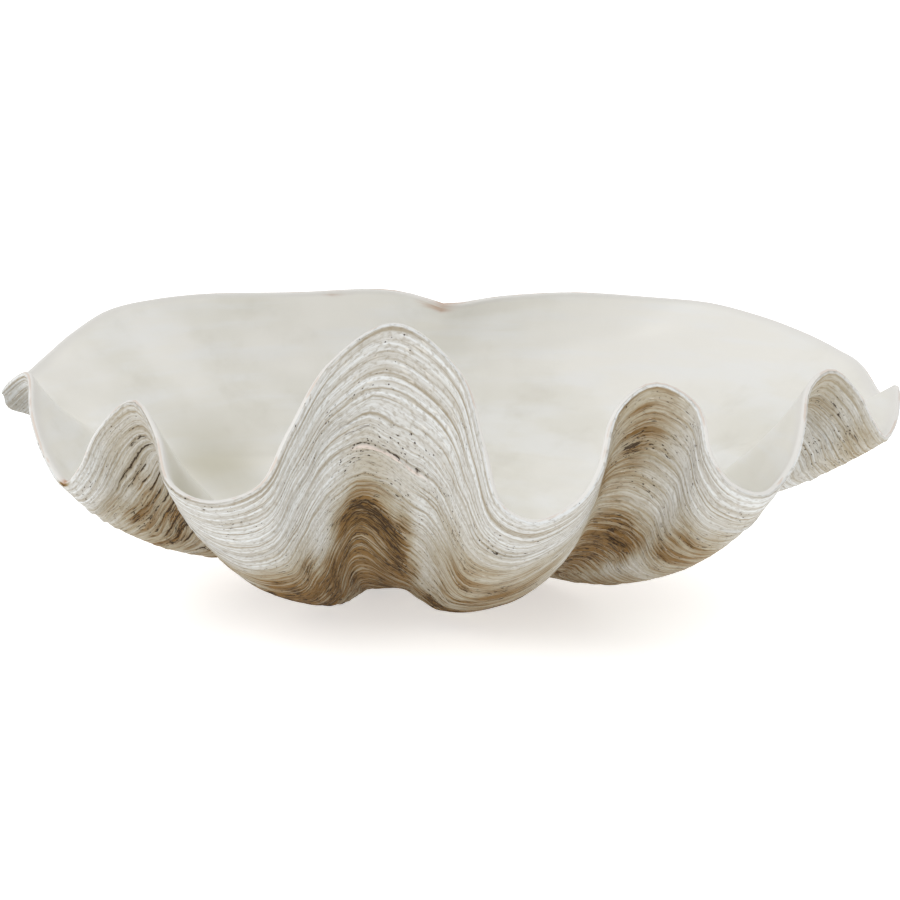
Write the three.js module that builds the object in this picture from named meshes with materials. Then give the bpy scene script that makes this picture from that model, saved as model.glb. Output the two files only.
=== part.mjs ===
// Half shell (one valve) of a giant clam lying on its belly. Millimetres, +Z up.
// The shell is one grown solid: a growth law carries the rim back to the beak (umbo),
// each older growth line being the rim shrunk towards the beak and rolled inwards.
import * as THREE from "three";

// ---- driving sizes (mm, radians, shares) ----
const LIP_WALL = 5.5; // wall at the free edge
const LIP_CROWN = 1.4; // rise of the rounded edge over its two corners
const WORN_FLAT = 5; // depth worn off the lowest ribs, which makes the resting flats
const BEAK = new THREE.Vector3(-42, 235, 60); // the umbo, where growth began
const BEAK_WALL = new THREE.Vector3(0, -38, 34); // from the beak to the bottom of the hollow under it
const ROLL_FRONT = 1.135; // how far the front margin has rolled since the beak
const ROLL_SIDE = 0.336;
const ROLL_BACK = 0.9;
const OUTER_FADE = 0.71; // power by which folds fade towards the beak, outside
const INNER_FADE = 1.5; // and inside, where the bowl is smoother
const OUTER_BLUR = 90; // smoothing that turns the folded rim into the plain margin
const INNER_BLUR = 110;
const HEADING_BLUR = 200; // smoothing of the margin's heading, the axis of the roll
const ROLL_BLUR = 60;
const SWELL_BLUR = 12;
const SAMPLES = 960; // fine samples round the rim
const COLUMNS = 116; // columns of the mesh round the rim
const BACK_DENSITY = 0.45; // column spacing behind the beak against the folded front
const OUTER_ROWS = 24;
const INNER_ROWS = 14;
const LAST_ROW = 0.97; // share of growth covered before the rows close on a point

// Rim stations: x, y, z, swell of the meridian outwards, drift of the meridian along the rim.
const RIM = [
  [-6.5, 238, 195, 0, 0], // notch over the beak
  [47.5, 250, 200, 0, 0],
  [114.5, 256, 202.5, 0, 0],
  [181, 252, 199, 0, 0],
  [241, 238, 195, 0, 0],
  [289, 205, 186.5, 0, 0],
  [323.5, 160, 178.5, 0, 0],
  [346, 105, 172.5, 0, 0],
  [357.5, 60, 168.5, 0, 0],
  [368, 10, 151, 1, 0], // rib F
  [371, -30, 167.5, 0, 1], // fold 5, right tip
  [366, -52, 147, 0, 1],
  [352.5, -75, 135.5, -1, 2], // rib E
  [336.5, -95, 154, 0, 2],
  [321, -105, 180, 1, 2],
  [299.5, -115, 199, 2, 2], // fold 4
  [281.5, -130, 189, 1, 7],
  [274.5, -148, 160, 1, 14],
  [265, -165, 137, 1, 19],
  [239, -190, 118, 0, 28], // rib D
  [209, -200, 129.5, 2, 27],
  [192, -200, 154, 3, 27],
  [182, -198, 190, 5, 27],
  [152.5, -200, 206, 7, 26], // fold 3
  [126.5, -207, 188.5, 3, 21],
  [113.5, -220, 146, -1, 13],
  [97.5, -228, 123.5, -5, 8],
  [63, -235, 108.5, -8, 1], // rib C
  [35.5, -232, 121.5, -1, -3],
  [21.5, -222, 167, 10, -9],
  [6, -212, 217, 23, -16],
  [-40.5, -208, 253, 37, -24], // fold 2, the tall one
  [-85.5, -210, 225.5, 26, -22],
  [-116, -218, 175.5, 14, -19],
  [-139.5, -222, 133, 5, -17],
  [-181.5, -215, 118, -4, -15], // rib B
  [-213.5, -200, 130, -3, -9],
  [-224.5, -185, 164.5, -3, -3],
  [-241, -170, 186, -2, 2], // fold 1
  [-270, -150, 160.5, 0, -1],
  [-287.5, -138, 127, 2, -3],
  [-305.5, -120, 108.5, 3, -5], // rib A
  [-326.5, -95, 128, 3, -3],
  [-340, -70, 155, 3, -1],
  [-347.5, -40, 180.5, 3, 1], // fold 0, left end
  [-378, 5, 157.5, 0, 0], // rib Z, left tip
  [-370.5, 45, 160.5, 0, 0],
  [-356.5, 90, 171.5, 0, 0],
  [-338, 140, 185, 0, 0],
  [-313, 185, 196.5, 0, 0],
  [-276, 218, 201, 0, 0],
  [-231.5, 238, 203.5, 0, 0],
  [-142.5, 250, 203.5, 0, 0],
  [-62, 252, 206, 0, 0], // knuckle beside the notch
  [-28.5, 246, 201, 0, 0],
];

/** Value of a closed list of numbers at a fractional index. */
function numberAt(list, index) {
  const low = Math.floor(index);
  const share = index - low;
  const n = list.length;
  return list[((low % n) + n) % n] * (1 - share) + list[(((low + 1) % n) + n) % n] * share;
}

/** Point of a closed list of points at a fractional index. */
function pointAt(list, index) {
  const low = Math.floor(index);
  const n = list.length;
  const a = list[((low % n) + n) % n];
  const b = list[(((low + 1) % n) + n) % n];
  return a.clone().lerp(b, index - low);
}

/** Bell-shaped weights for a closed loop, by distance in samples. */
function bellWeights(sigma) {
  const reach = Math.ceil(sigma * 3.5);
  const weights = [];
  for (let k = -reach; k <= reach; k += 1) weights.push(Math.exp((-0.5 * k * k) / (sigma * sigma)));
  const sum = weights.reduce((total, w) => total + w, 0);
  return { reach, weights: weights.map((w) => w / sum) };
}

/** Closed list of numbers smoothed by a bell of the given width in samples. */
function blurNumbers(list, sigma) {
  const { reach, weights } = bellWeights(sigma);
  const n = list.length;
  return list.map((_, i) => {
    let sum = 0;
    for (let k = -reach; k <= reach; k += 1) sum += weights[k + reach] * list[(((i + k) % n) + n) % n];
    return sum;
  });
}

/** Closed list of points smoothed in each coordinate. */
function blurPoints(list, sigma) {
  const x = blurNumbers(list.map((p) => p.x), sigma);
  const y = blurNumbers(list.map((p) => p.y), sigma);
  const z = blurNumbers(list.map((p) => p.z), sigma);
  return list.map((_, i) => new THREE.Vector3(x[i], y[i], z[i]));
}

/** Evenly spaced samples of the rim with the swell and drift carried along it. */
function sampleRim() {
  const stations = RIM.map((r) => new THREE.Vector3(r[0], r[1], r[2]));
  const curve = new THREE.CatmullRomCurve3(stations, true, "centripetal");
  const fine = 40;
  curve.arcLengthDivisions = RIM.length * fine;
  const lengths = curve.getLengths();
  const total = lengths[lengths.length - 1];
  const marks = RIM.map((_, i) => (lengths[i * fine] / total) * SAMPLES);
  marks.push(SAMPLES);
  const points = [];
  for (let i = 0; i < SAMPLES; i += 1) points.push(curve.getPointAt(i / SAMPLES));
  return { points, total, swell: carried(marks, 3), drift: carried(marks, 4) };
}

/** One column of the rim table spread over the samples between its stations. */
function carried(marks, column) {
  const out = [];
  let j = 0;
  for (let i = 0; i < SAMPLES; i += 1) {
    while (marks[j + 1] <= i) j += 1;
    const share = (i - marks[j]) / (marks[j + 1] - marks[j]);
    const from = RIM[j][column];
    const to = RIM[(j + 1) % RIM.length][column];
    out.push(from + (to - from) * share);
  }
  return out;
}

/** Everything the growth law needs at each sample of the rim. */
function growthTables() {
  const rim = sampleRim();
  const step = rim.total / SAMPLES;
  const margin = blurPoints(rim.points, OUTER_BLUR / step);
  const heading = blurPoints(rim.points, HEADING_BLUR / step);
  const forward = margin.map(forwardness);
  const roll = forward.map((c) => ROLL_SIDE + ((c >= 0 ? ROLL_FRONT : ROLL_BACK) - ROLL_SIDE) * c * c);
  return {
    margin,
    forward,
    fold: rim.points.map((p, i) => p.clone().sub(margin[i])),
    axis: heading.map((_, i) => neighbour(heading, i, -1).sub(neighbour(heading, i, 1)).normalize()),
    roll: blurNumbers(roll, ROLL_BLUR / step),
    swell: blurNumbers(rim.swell, SWELL_BLUR / step),
    drift: blurNumbers(rim.drift, SWELL_BLUR / step),
    innerMargin: blurPoints(rim.points, INNER_BLUR / step),
    rim: rim.points,
  };
}

/** Copy of the point so many places on in a closed list. */
function neighbour(list, index, by) {
  return list[(index + by + list.length) % list.length].clone();
}

/** How far a margin point lies in front of the beak: 1 front, 0 side, -1 back. */
function forwardness(point) {
  const reach = point.clone().sub(BEAK);
  return -reach.y / Math.hypot(reach.x, reach.y);
}

/** A margin point carried back to age s (1 rim, 0 beak) towards the given beak. */
function grown(tables, index, s, beak, margin, fold) {
  const axis = pointAt(tables.axis, index).normalize();
  const reach = margin.sub(beak).add(fold);
  reach.applyAxisAngle(axis, numberAt(tables.roll, index) * (1 - s));
  const outward = axis.clone().cross(reach).normalize();
  const bulge = 6.75 * s * s * (1 - s);
  return beak
    .clone()
    .addScaledVector(reach, s)
    .addScaledVector(outward, numberAt(tables.swell, index) * bulge)
    .addScaledVector(axis, numberAt(tables.drift, index) * bulge);
}

/** Point of the outside at age s. */
function outside(tables, index, s) {
  const fold = pointAt(tables.fold, index).multiplyScalar(Math.pow(s, OUTER_FADE));
  return grown(tables, index, s, BEAK, pointAt(tables.margin, index), fold);
}

/** Step across the wall at the rim, square to the outside and pointing into the bowl. */
function lipStep(tables, index) {
  const along = outside(tables, index + 1.5, 1).sub(outside(tables, index - 1.5, 1));
  const younger = outside(tables, index, 1).sub(outside(tables, index, 0.996));
  return along.cross(younger).normalize().multiplyScalar(LIP_WALL);
}

/** Point of the inside at age s: the rim's inner corner carried back to the hollow's own beak. */
function inside(tables, index, s) {
  const margin = pointAt(tables.innerMargin, index);
  const fold = pointAt(tables.rim, index).sub(margin).multiplyScalar(Math.pow(s, INNER_FADE));
  const beak = BEAK.clone().add(BEAK_WALL);
  return grown(tables, index, s, beak, margin, fold.add(lipStep(tables, index)));
}

/** Columns of the mesh: fractional sample indices, closer together over the folds. */
function columnIndices(tables) {
  const density = blurNumbers(tables.forward.map((c) => (c > 0 ? 1 : BACK_DENSITY)), 24);
  const running = [0];
  density.forEach((d) => running.push(running[running.length - 1] + d));
  const total = running[SAMPLES];
  const indices = [];
  let j = 0;
  for (let i = 0; i < COLUMNS; i += 1) {
    const target = (i / COLUMNS) * total;
    while (running[j + 1] <= target) j += 1;
    indices.push(j + (target - running[j]) / (running[j + 1] - running[j]));
  }
  return indices;
}

/** Rings of one face of the wall, from the rim back to its beak. */
function rings(surface, tables, columns, rows) {
  const out = [];
  for (let row = 0; row < rows; row += 1) {
    const s = 1 - (row / (rows - 1)) * LAST_ROW;
    out.push(columns.map((index) => surface(tables, index, s)));
  }
  return out;
}

/** The rounded crown between the outer and the inner corner of the rim. */
function crownRing(outer, inner, nextOuter) {
  return outer.map((p, i) => {
    const up = p.clone().sub(nextOuter[i]).normalize();
    return p.clone().add(inner[i]).multiplyScalar(0.5).addScaledVector(up, LIP_CROWN);
  });
}

/** Closed triangle mesh from pole, rings in order, pole. */
function closedMesh(startPole, rings, endPole) {
  const n = rings[0].length;
  const positions = [startPole.x, startPole.y, startPole.z];
  rings.forEach((ring) => ring.forEach((p) => positions.push(p.x, p.y, p.z)));
  positions.push(endPole.x, endPole.y, endPole.z);
  const at = (row, col) => 1 + row * n + (col % n);
  const last = rings.length - 1;
  const end = 1 + rings.length * n;
  const faces = [];
  for (let c = 0; c < n; c += 1) {
    faces.push(0, at(0, c), at(0, c + 1));
    for (let r = 0; r < last; r += 1) pushQuad(faces, at(r, c), at(r + 1, c), at(r + 1, c + 1), at(r, c + 1));
    faces.push(end, at(last, c + 1), at(last, c));
  }
  const geometry = new THREE.BufferGeometry();
  geometry.setAttribute("position", new THREE.Float32BufferAttribute(positions, 3));
  geometry.setIndex(faces);
  return geometry;
}

/** Two triangles for one cell of the rings. */
function pushQuad(faces, a, b, c, d) {
  faces.push(a, b, c);
  faces.push(a, c, d);
}

/** Wears the lowest ribs flat and sets the base on z = 0 under the middle of the box. */
function restOnFlats(geometry) {
  geometry.computeBoundingBox();
  const box = geometry.boundingBox;
  const floor = box.min.z + WORN_FLAT;
  const midX = (box.min.x + box.max.x) / 2;
  const midY = (box.min.y + box.max.y) / 2;
  const position = geometry.getAttribute("position");
  for (let i = 0; i < position.count; i += 1) {
    const z = Math.max(position.getZ(i), floor);
    position.setXYZ(i, position.getX(i) - midX, position.getY(i) - midY, z - floor);
  }
}

/** The whole valve as one closed body. */
function shellGeometry() {
  const tables = growthTables();
  const columns = columnIndices(tables);
  const outer = rings(outside, tables, columns, OUTER_ROWS);
  const inner = rings(inside, tables, columns, INNER_ROWS);
  const crown = crownRing(outer[0], inner[0], outer[1]);
  const stack = [...outer].reverse().concat([crown], inner);
  const geometry = closedMesh(BEAK, stack, BEAK.clone().add(BEAK_WALL));
  restOnFlats(geometry);
  geometry.computeVertexNormals();
  return geometry;
}

const material = new THREE.MeshStandardMaterial({ color: "#d9d5c9", roughness: 0.6, metalness: 0 });
const shell = new THREE.Mesh(shellGeometry(), material);
shell.name = "shell";

const part = new THREE.Group();
part.name = "giant_clam_half_shell";
part.add(shell);

export default part;
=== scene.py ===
"""Giant clam half shell lying on its belly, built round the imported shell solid.

The valve is made by its growth law: the rim is carried back to the beak, each older growth
line shrunk towards the beak and rolled inwards. Growth lamellae, the rounded lip, stains and
pits are added along those lines. Metres, +Z up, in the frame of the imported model.
"""

import logging
import math
from dataclasses import dataclass, field
from enum import Enum, IntEnum
from typing import Any

import bmesh
import bpy
import numpy as np
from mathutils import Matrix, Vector


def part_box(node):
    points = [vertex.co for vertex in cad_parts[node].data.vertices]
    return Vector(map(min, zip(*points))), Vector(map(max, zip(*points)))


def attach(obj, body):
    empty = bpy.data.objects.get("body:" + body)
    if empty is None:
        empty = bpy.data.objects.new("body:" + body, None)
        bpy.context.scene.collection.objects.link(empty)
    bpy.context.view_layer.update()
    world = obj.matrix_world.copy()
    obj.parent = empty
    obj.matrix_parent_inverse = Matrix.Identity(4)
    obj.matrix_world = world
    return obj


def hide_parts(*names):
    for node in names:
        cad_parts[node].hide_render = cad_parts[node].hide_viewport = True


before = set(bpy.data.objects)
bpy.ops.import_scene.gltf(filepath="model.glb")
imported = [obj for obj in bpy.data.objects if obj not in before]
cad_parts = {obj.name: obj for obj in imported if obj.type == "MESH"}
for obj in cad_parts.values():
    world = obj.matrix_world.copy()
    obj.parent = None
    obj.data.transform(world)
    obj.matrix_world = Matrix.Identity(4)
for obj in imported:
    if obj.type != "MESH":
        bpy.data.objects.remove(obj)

LOG = logging.getLogger("clam_shell")
MILLIMETRE = 0.001
LEAST_LENGTH = 1e-12  # shortest length that a vector is divided by
BELL_REACH = 3.5  # widths from its middle at which a smoothing bell ends
SWELL_SCALE = 6.75  # makes 1 the most that size * size * (1 - size) comes to

# The sRGB curve: a straight foot, then a power.
SRGB_LEVELS = 255
SRGB_FOOT = 0.04045
SRGB_SLOPE = 12.92
SRGB_OFFSET = 0.055
SRGB_POWER = 2.4

Span = tuple[float, float]  # low and high end of a range
Weights = tuple[tuple[str, float], ...]  # names of values, each with what it counts

# Rim stations in millimetres of the growth frame: x, y, z, swell outwards and drift along the rim
# of the older growth behind that station. Clockwise from above, starting at the notch.
RIM_STATIONS: tuple[tuple[float, ...], ...] = (
    (-6.5, 238, 195, 0, 0),  # notch over the beak
    (47.5, 250, 200, 0, 0),
    (114.5, 256, 202.5, 0, 0),
    (181, 252, 199, 0, 0),
    (241, 238, 195, 0, 0),
    (289, 205, 186.5, 0, 0),
    (323.5, 160, 178.5, 0, 0),
    (346, 105, 172.5, 0, 0),
    (357.5, 60, 168.5, 0, 0),
    (368, 10, 151, 1, 0),  # rib F
    (371, -30, 167.5, 0, 1),  # fold 5, right tip
    (366, -52, 147, 0, 1),
    (352.5, -75, 135.5, -1, 2),  # rib E
    (336.5, -95, 154, 0, 2),
    (321, -105, 180, 1, 2),
    (299.5, -115, 199, 2, 2),  # fold 4
    (281.5, -130, 189, 1, 7),
    (274.5, -148, 160, 1, 14),
    (265, -165, 137, 1, 19),
    (239, -190, 118, 0, 28),  # rib D
    (209, -200, 129.5, 2, 27),
    (192, -200, 154, 3, 27),
    (182, -198, 190, 5, 27),
    (152.5, -200, 206, 7, 26),  # fold 3
    (126.5, -207, 188.5, 3, 21),
    (113.5, -220, 146, -1, 13),
    (97.5, -228, 123.5, -5, 8),
    (63, -235, 108.5, -8, 1),  # rib C
    (35.5, -232, 121.5, -1, -3),
    (21.5, -222, 167, 10, -9),
    (6, -212, 217, 23, -16),
    (-40.5, -208, 253, 37, -24),  # fold 2, the tall one
    (-85.5, -210, 225.5, 26, -22),
    (-116, -218, 175.5, 14, -19),
    (-139.5, -222, 133, 5, -17),
    (-181.5, -215, 118, -4, -15),  # rib B
    (-213.5, -200, 130, -3, -9),
    (-224.5, -185, 164.5, -3, -3),
    (-241, -170, 186, -2, 2),  # fold 1
    (-270, -150, 160.5, 0, -1),
    (-287.5, -138, 127, 2, -3),
    (-305.5, -120, 108.5, 3, -5),  # rib A
    (-326.5, -95, 128, 3, -3),
    (-340, -70, 155, 3, -1),
    (-347.5, -40, 180.5, 3, 1),  # fold 0, left end
    (-378, 5, 157.5, 6, 0),  # rib Z, left tip
    (-370.5, 45, 160.5, 4, 0),
    (-356.5, 90, 171.5, 1, 0),
    (-338, 140, 185, 0, 0),
    (-313, 185, 196.5, 0, 0),
    (-276, 218, 201, 0, 0),
    (-231.5, 238, 203.5, 0, 0),
    (-142.5, 250, 203.5, 0, 0),
    (-62, 252, 206, 0, 0),  # knuckle beside the notch
    (-28.5, 246, 201, 0, 0),
)
INNER_FADES = ((0.764, 1.5), (0.294, 0.7), (0.669, -0.7))  # folds 0, 4 and 1: place, extra power inside
INNER_FADE_HALF_TURN = 0.025  # half width of those places round the rim
SOFT_FOLD_TURN = 0.764  # fold 0, whose crest dies out inside
GROWTH_LENGTH = 748.8  # length of the worn shell in the growth frame, mm
GROWTH_LOW_CORNER = (-377.7, -235.1, -25.4)  # its lowest corner there, mm


def linear_colour(hex_code: str) -> tuple[float, float, float, float]:
    """Turn an sRGB hex colour into linear light.

    Args:
        hex_code: Colour such as "#E4E0D3".

    Returns:
        Red, green, blue and alpha in linear light.
    """
    channels = [level / SRGB_LEVELS for level in bytes.fromhex(hex_code[1:])]
    linear = [
        c / SRGB_SLOPE if c <= SRGB_FOOT else ((c + SRGB_OFFSET) / (1 + SRGB_OFFSET)) ** SRGB_POWER
        for c in channels
    ]
    return linear[0], linear[1], linear[2], 1.0


def smooth_step(low: float, high: float, value: np.ndarray) -> np.ndarray:
    """Ease from 0 at `low` to 1 at `high`.

    Args:
        low: Value at which the ramp starts.
        high: Value at which the ramp ends.
        value: Values to ease.

    Returns:
        Shares from 0 to 1.
    """
    share = np.clip((value - low) / (high - low), 0, 1)
    return share * share * (3 - 2 * share)


def unit(vectors: np.ndarray) -> np.ndarray:
    """Vectors of the same directions and length 1."""
    return vectors / np.maximum(np.linalg.norm(vectors, axis=-1, keepdims=True), LEAST_LENGTH)


def bell(turn: np.ndarray, middle: float, half_width: float) -> np.ndarray:
    """Bell round the rim.

    Args:
        turn: Places round the rim, 0 to 1.
        middle: Place of the top of the bell.
        half_width: Distance at which it has fallen to about a third.

    Returns:
        Shares from 0 to 1.
    """
    distance = (turn - middle + 0.5) % 1 - 0.5
    return np.exp(-((distance / half_width) ** 2))


@dataclass(frozen=True)
class PatchNoise:
    """Smooth seeded noise from -1 to 1 over the valve, closed round the rim."""

    round_cells: int
    growth_cells: int
    seed: int

    def at(self, turn: np.ndarray, age: np.ndarray) -> np.ndarray:
        """Read the noise.

        Args:
            turn: Place round the rim, 0 to 1.
            age: Place from the rim (0) to the beak (1).

        Returns:
            Noise values from -1 to 1.
        """
        lattice = np.random.default_rng(self.seed).uniform(-1, 1, (self.growth_cells + 2, self.round_cells))
        column, row = turn * self.round_cells, np.clip(age, 0, 1) * self.growth_cells
        left, below = np.floor(column).astype(int), np.floor(row).astype(int)
        across, along = smooth_step(0, 1, column - left), smooth_step(0, 1, row - below)
        left, right = left % self.round_cells, (left + 1) % self.round_cells
        older = lattice[below + 1, left] * (1 - across) + lattice[below + 1, right] * across
        younger = lattice[below, left] * (1 - across) + lattice[below, right] * across
        return younger * (1 - along) + older * along


@dataclass
class GrowthLaw:
    """Carries the rim back to the beak, outside and inside. Millimetres of the growth frame."""

    lip_wall: float = 5.5  # thickness of the wall at the rim
    beak: tuple[float, float, float] = (-42, 235, 60)
    beak_wall: tuple[float, float, float] = (0, -38, 34)  # step across the wall at the beak
    roll_front: float = 1.135  # radians that the front rim turns on its way back to the beak
    roll_side: float = 0.336
    roll_back: float = 0.9
    outer_fade: float = 0.71  # power of the size by which the folds die out towards the beak
    inner_fade: float = 1.5
    outer_blur: float = 90  # smoothing that takes the folds out of the rim and leaves its plain margin
    inner_blur: float = 110
    heading_blur: float = 200  # smoothing that leaves the main direction of the rim
    roll_blur: float = 60
    swell_blur: float = 12
    soft_blur: float = 26  # smoothing of the fold whose crest dies out inside
    soft_fade: float = 9  # power by which the sharp rim goes over to the soft one inside
    near_turn: float = 1.5 / 960  # step along the rim that gives its direction
    near_size: float = 0.996  # size just behind the rim, which gives the way of growth
    samples: int = 1920  # fine samples of the rim
    station_steps: int = 60  # steps of the curve between two stations
    density_blur: float = 0.025  # turn over which the columns draw closer together
    rim: np.ndarray = field(init=False)
    rim_length: float = field(init=False)

    def __post_init__(self) -> None:
        """Work out what the law needs at each fine sample of the rim."""
        self._sample_rim()
        step = self.rim_length / self.samples
        self.margin = self._blurred(self.rim, self.outer_blur / step)
        self.inner_margin = self._blurred(self.rim, self.inner_blur / step)
        self.soft_rim = self._blurred(self.rim, self.soft_blur / step)
        heading = self._blurred(self.rim, self.heading_blur / step)
        self.axis = unit(np.roll(heading, 1, 0) - np.roll(heading, -1, 0))
        reach = self.margin - np.array(self.beak)
        self.forward = -reach[:, 1] / np.hypot(reach[:, 0], reach[:, 1])
        ends = np.where(self.forward >= 0, self.roll_front, self.roll_back)
        roll = self.roll_side + (ends - self.roll_side) * self.forward**2
        self.roll = self._blurred(roll, self.roll_blur / step)
        self.swell = self._blurred(self.swell, self.swell_blur / step)
        self.drift = self._blurred(self.drift, self.swell_blur / step)

    def _sample_rim(self) -> None:
        """Run a closed centripetal curve through the stations and sample it evenly."""
        table = np.array(RIM_STATIONS, float)
        stations = table[:, :3]
        fine = np.linspace(0, 1, self.station_steps, endpoint=False)[:, None]
        pieces = []
        for i in range(len(stations)):
            before, start, end, after = (stations[(i + k) % len(stations)] for k in (-1, 0, 1, 2))
            gap0, gap1, gap2 = (
                math.sqrt(np.linalg.norm(b - a)) for a, b in ((before, start), (start, end), (end, after))
            )
            leave = (start - before) / gap0 - (end - before) / (gap0 + gap1) + (end - start) / gap1
            arrive = (end - start) / gap1 - (after - start) / (gap1 + gap2) + (after - end) / gap2
            square, cube = fine**2, fine**3
            pieces.append(
                (2 * cube - 3 * square + 1) * start
                + (cube - 2 * square + fine) * leave * gap1
                + (3 * square - 2 * cube) * end
                + (cube - square) * arrive * gap1
            )
        curve = np.concatenate([*pieces, stations[:1]])
        lengths = np.r_[0, np.cumsum(np.linalg.norm(np.diff(curve, axis=0), axis=1))]
        self.rim_length = float(lengths[-1])
        even = np.arange(self.samples) / self.samples * self.rim_length
        self.rim = np.stack([np.interp(even, lengths, curve[:, k]) for k in range(3)], -1)
        marks = lengths[:: len(fine)]
        closed = np.vstack([table, table[:1]])
        *_, swell, drift = closed.T
        self.swell = np.interp(even, marks, swell)
        self.drift = np.interp(even, marks, drift)

    def _blurred(self, values: np.ndarray, sigma: float) -> np.ndarray:
        """Smooth a closed list by a bell.

        Args:
            values: One row for each sample.
            sigma: Width of the bell in samples.

        Returns:
            The smoothed list.
        """
        reach = math.ceil(sigma * BELL_REACH)
        weights = np.exp(-0.5 * (np.arange(-reach, reach + 1) / sigma) ** 2)
        weights /= weights.sum()
        padded = np.concatenate([values[-reach:], values, values[:reach]])
        if values.ndim == 1:
            return np.convolve(padded, weights, "valid")
        return np.stack([np.convolve(padded[:, k], weights, "valid") for k in range(values.shape[1])], -1)

    def _at(self, values: np.ndarray, turn: np.ndarray) -> np.ndarray:
        """Read a closed list at places round the rim.

        Args:
            values: One row for each sample.
            turn: Places from 0 to 1.

        Returns:
            The values there.
        """
        index = turn * self.samples
        low = np.floor(index).astype(int)
        share = index - low
        if values.ndim > 1:
            share = share[..., None]
        return values[low % self.samples] * (1 - share) + values[(low + 1) % self.samples] * share

    def _grown(self, turn: np.ndarray, s: np.ndarray, beak: np.ndarray, reach: np.ndarray) -> np.ndarray:
        """Carry a reach from the beak back to an earlier size.

        Args:
            turn: Places round the rim.
            s: Size at that age, 1 at the rim and 0 at the beak.
            beak: Beak that this face grows from.
            reach: Vectors from the beak to the rim, with their folds.

        Returns:
            Points of the face.
        """
        axis = unit(self._at(self.axis, turn))
        angle = (self._at(self.roll, turn) * (1 - s))[..., None]
        dot = np.sum(axis * reach, -1, keepdims=True)
        turned = reach * np.cos(angle) + np.cross(axis, reach) * np.sin(angle)
        turned = turned + axis * dot * (1 - np.cos(angle))
        outward = unit(np.cross(axis, turned))
        bulge = (SWELL_SCALE * s * s * (1 - s))[..., None]
        swell, drift = self._at(self.swell, turn)[..., None], self._at(self.drift, turn)[..., None]
        return beak + turned * s[..., None] + (outward * swell + axis * drift) * bulge

    def outside(self, turn: np.ndarray, s: np.ndarray) -> np.ndarray:
        """Find points of the outside.

        Args:
            turn: Places round the rim.
            s: Size at that age, 1 at the rim and 0 at the beak.

        Returns:
            Points of the outer face.
        """
        margin = self._at(self.margin, turn)
        fold = (self._at(self.rim, turn) - margin) * (s**self.outer_fade)[..., None]
        beak = np.array(self.beak, float)
        return self._grown(turn, s, beak, margin - beak + fold)

    def lip_step(self, turn: np.ndarray) -> np.ndarray:
        """Step across the wall at the rim.

        Args:
            turn: Places round the rim.

        Returns:
            Vectors as long as the wall is thick, square to the outside and pointing into the bowl.
        """
        one = np.ones_like(turn)
        along = self.outside(turn + self.near_turn, one) - self.outside(turn - self.near_turn, one)
        younger = self.outside(turn, one) - self.outside(turn, one * self.near_size)
        return unit(np.cross(along, younger)) * self.lip_wall

    def inside(self, turn: np.ndarray, s: np.ndarray) -> np.ndarray:
        """Find points of the inside.

        Args:
            turn: Places round the rim.
            s: Size at that age, 1 at the rim and 0 at the beak.

        Returns:
            Points of the inner face.
        """
        margin = self._at(self.inner_margin, turn)
        extra = sum(power * bell(turn, middle, INNER_FADE_HALF_TURN) for middle, power in INNER_FADES)
        fade = self.inner_fade + extra
        rim, soft_rim = self._at(self.rim, turn), self._at(self.soft_rim, turn)
        soft = (bell(turn, SOFT_FOLD_TURN, INNER_FADE_HALF_TURN) * (1 - s**self.soft_fade))[..., None]
        fold = (rim + (soft_rim - rim) * soft - margin) * (s**fade)[..., None]
        beak = np.array(self.beak, float) + np.array(self.beak_wall, float)
        return self._grown(turn, s, beak, margin - beak + fold + self.lip_step(turn))

    def facing(self, turn: np.ndarray) -> np.ndarray:
        """Way each place faces from the beak: 1 to the front, -1 to the back."""
        return self._at(self.forward, turn)

    def crest(self, turn: np.ndarray) -> np.ndarray:
        """How far the rim stands above the plain margin there, mm: folds up, ribs down."""
        return self._at(self.rim - self.margin, turn)[..., 2]

    def columns(self, count: int, back_density: float) -> np.ndarray:
        """Spread columns round the rim, closer together over the folds.

        Args:
            count: Number of columns.
            back_density: Columns to the millimetre behind the beak against the folded front.

        Returns:
            Places round the rim, from 0 to 1 with both ends.
        """
        density = np.where(self.forward > 0, 1.0, back_density)
        density = self._blurred(density, self.samples * self.density_blur)
        running = np.r_[0, np.cumsum(density)]
        target = np.linspace(0, running[-1], count + 1)
        return np.interp(target, running, np.arange(self.samples + 1)) / self.samples


class Face(IntEnum):
    """Faces of the valve, in the order of its material slots."""

    OUTSIDE = 0
    INSIDE = 1


@dataclass(frozen=True)
class Row:
    """One row of the valve's mesh across the wall, from the outer beak over the lip to the inner one."""

    face: Face
    size: float  # 1 at the rim, 0 at the beak
    ridge: float = 0.0  # share of the lamella's height
    layer: int = 0  # lamella that it belongs to, from the rim
    lip: float = 0.0  # angle over the lip, radians


@dataclass(frozen=True)
class LinePull:
    """A place where the older growth lines are drawn up towards the rim, in the hollow of a fold."""

    turn: float
    half_turn: float
    from_age: float
    full_age: float
    reach: float  # mm

    def over(self, turn: np.ndarray, age: np.ndarray) -> np.ndarray:
        """How far the lines are drawn up, mm, at places round the rim and back in growth."""
        drawn = smooth_step(self.from_age, self.full_age, age)
        return self.reach * bell(turn, self.turn, self.half_turn) * drawn


LINE_PULLS = (
    LinePull(0.545, 0.017, 0.11, 0.34, 40),  # tall fold, straight over the hollow
    LinePull(0.434, 0.025, 0.00, 0.20, 40),  # fold 3, on the side of the tall fold
    LinePull(0.385, 0.018, 0.00, 0.20, -12),
    LinePull(0.650, 0.020, 0.00, 0.20, 34),  # fold 1
    LinePull(0.690, 0.014, 0.00, 0.20, -12),
    LinePull(0.314, 0.016, 0.00, 0.16, 20),  # fold 4
)


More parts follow.
